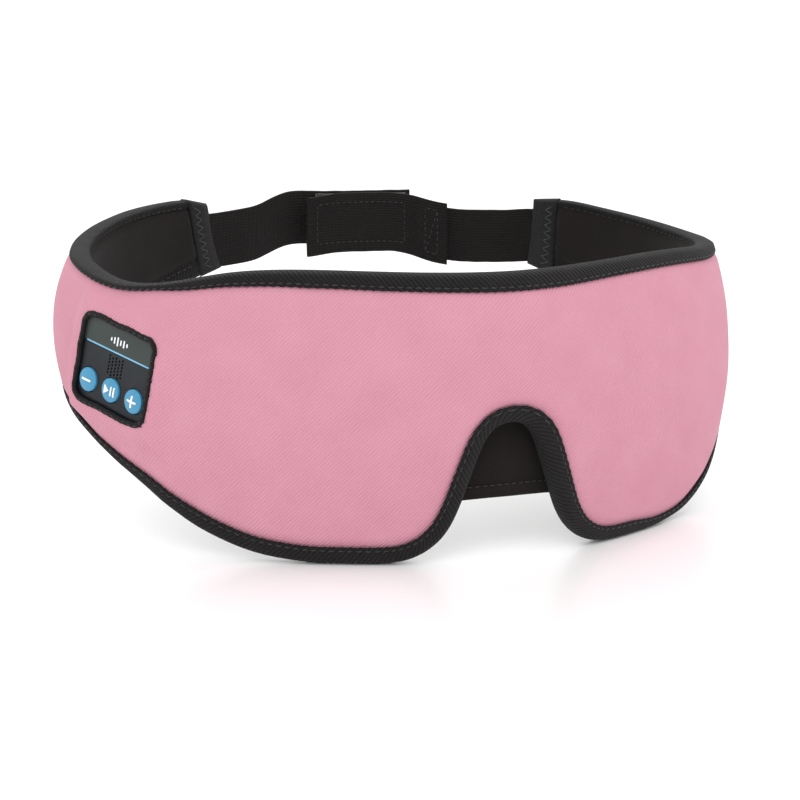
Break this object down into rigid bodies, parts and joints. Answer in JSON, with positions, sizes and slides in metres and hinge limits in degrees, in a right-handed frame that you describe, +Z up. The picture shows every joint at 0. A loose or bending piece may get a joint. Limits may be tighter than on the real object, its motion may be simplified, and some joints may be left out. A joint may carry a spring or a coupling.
{
  "type": "audio sleep mask",
  "caption": "Padded wrap-around sleep mask with moulded eye cups, a push-button control module on the temple, flat ear speakers and an elastic strap closed by hook and loop.",
  "frame": {"origin": "on the upright axis of the head opening, 36.3 mm above the underside of the cheek lobes", "axes": "+X to the wearer's left, -Y the way the wearer faces, +Z up"},
  "size_m": [0.2406, 0.1806, 0.0999],
  "materials": {
    "pink_twill": "matte",
    "black_lining": "matte",
    "black_binding": "matte",
    "black_elastic": "matte",
    "hook_and_loop": "matte",
    "memory_foam": "matte",
    "dark_plate": "satin",
    "black_plastic": "matte",
    "blue_silicone": "satin",
    "white_sign": "satin",
    "light_blue_line": "satin",
    "green_board": "satin",
    "battery_wrap": "satin",
    "bright_metal": "satin",
    "red_lamp": "gloss",
    "speaker_film": "satin"
  },
  "bodies": {
    "shell": {"accent_strip": "light_blue_line", "audio_chip": "black_plastic", "battery": "battery_wrap", "bottom_binding": "black_binding", "charge_socket": "bright_metal", "circuit_board": "green_board", "foam_core": "memory_foam", "indicator_led": "red_lamp", "inner_lining": "black_lining", "left_eye_cup": "black_lining", "left_speaker_diaphragm": "speaker_film", "left_speaker_grille": "black_plastic", "left_speaker_housing": "black_plastic", "left_speaker_lead": "black_plastic", "left_speaker_magnet": "bright_metal", "left_wing_hem": "black_binding", "microphone": "bright_metal", "minus_switch": "bright_metal", "module_face": "dark_plate", "module_housing": "black_plastic", "outer_cover": "pink_twill", "panel_border": "black_binding", "play_switch": "bright_metal", "plus_switch": "bright_metal", "right_eye_cup": "black_lining", "right_speaker_diaphragm": "speaker_film", "right_speaker_grille": "black_plastic", "right_speaker_housing": "black_plastic", "right_speaker_lead": "black_plastic", "right_speaker_magnet": "bright_metal", "right_wing_hem": "black_binding", "top_binding": "black_binding"},
    "minus_button": {"minus_button": "blue_silicone", "minus_icon": "white_sign"},
    "play_button": {"play_button": "blue_silicone", "play_pause_icon": "white_sign"},
    "plus_button": {"plus_button": "blue_silicone", "plus_icon": "white_sign"},
    "nose_flap": {"nose_flap": "black_lining"},
    "right_strap": {"right_strap": "black_elastic"},
    "right_strap_end": {"right_strap_end": "black_elastic", "loop_patch": "hook_and_loop"},
    "left_strap": {"left_strap": "black_elastic"},
    "hook_tab": {"hook_tab": "black_elastic", "hook_patch": "hook_and_loop"}
  },
  "joints": [
    {"name": "minus_press", "type": "slide", "parent": "shell", "child": "minus_button", "axis": [0.8757, 0.4779, -0.0688], "range_m": [0, 0.0005], "stiffness_N_per_m": 400},
    {"name": "play_press", "type": "slide", "parent": "shell", "child": "play_button", "axis": [0.8757, 0.4779, -0.0688], "range_m": [0, 0.0005], "stiffness_N_per_m": 400},
    {"name": "plus_press", "type": "slide", "parent": "shell", "child": "plus_button", "axis": [0.8757, 0.4779, -0.0688], "range_m": [0, 0.0005], "stiffness_N_per_m": 400},
    {"name": "nose_flap_flex", "type": "hinge", "parent": "shell", "child": "nose_flap", "pos_m": [0, -0.0764, 0.012], "axis": [1, 0, 0], "range_deg": [0, 30]},
    {"name": "right_strap_swing", "type": "hinge", "parent": "shell", "child": "right_strap", "pos_m": [-0.043, 0.08364, 0.04712], "axis": [-0.2454, -0.0659, 0.9672], "range_deg": [0, 90]},
    {"name": "right_strap_bend", "type": "hinge", "parent": "right_strap", "child": "right_strap_end", "pos_m": [-0.01098, 0.09194, 0.05282], "axis": [0, 0, 1], "range_deg": [0, 60]},
    {"name": "left_strap_swing", "type": "hinge", "parent": "shell", "child": "left_strap", "pos_m": [0.07586, 0.06909, 0.04501], "axis": [0, 0, 1], "range_deg": [0, 45]},
    {"name": "hook_tab_peel", "type": "hinge", "parent": "left_strap", "child": "hook_tab", "pos_m": [0.03746, 0.08562, 0.04836], "axis": [0, 0, 1], "range_deg": [0, 60]}
  ]
}
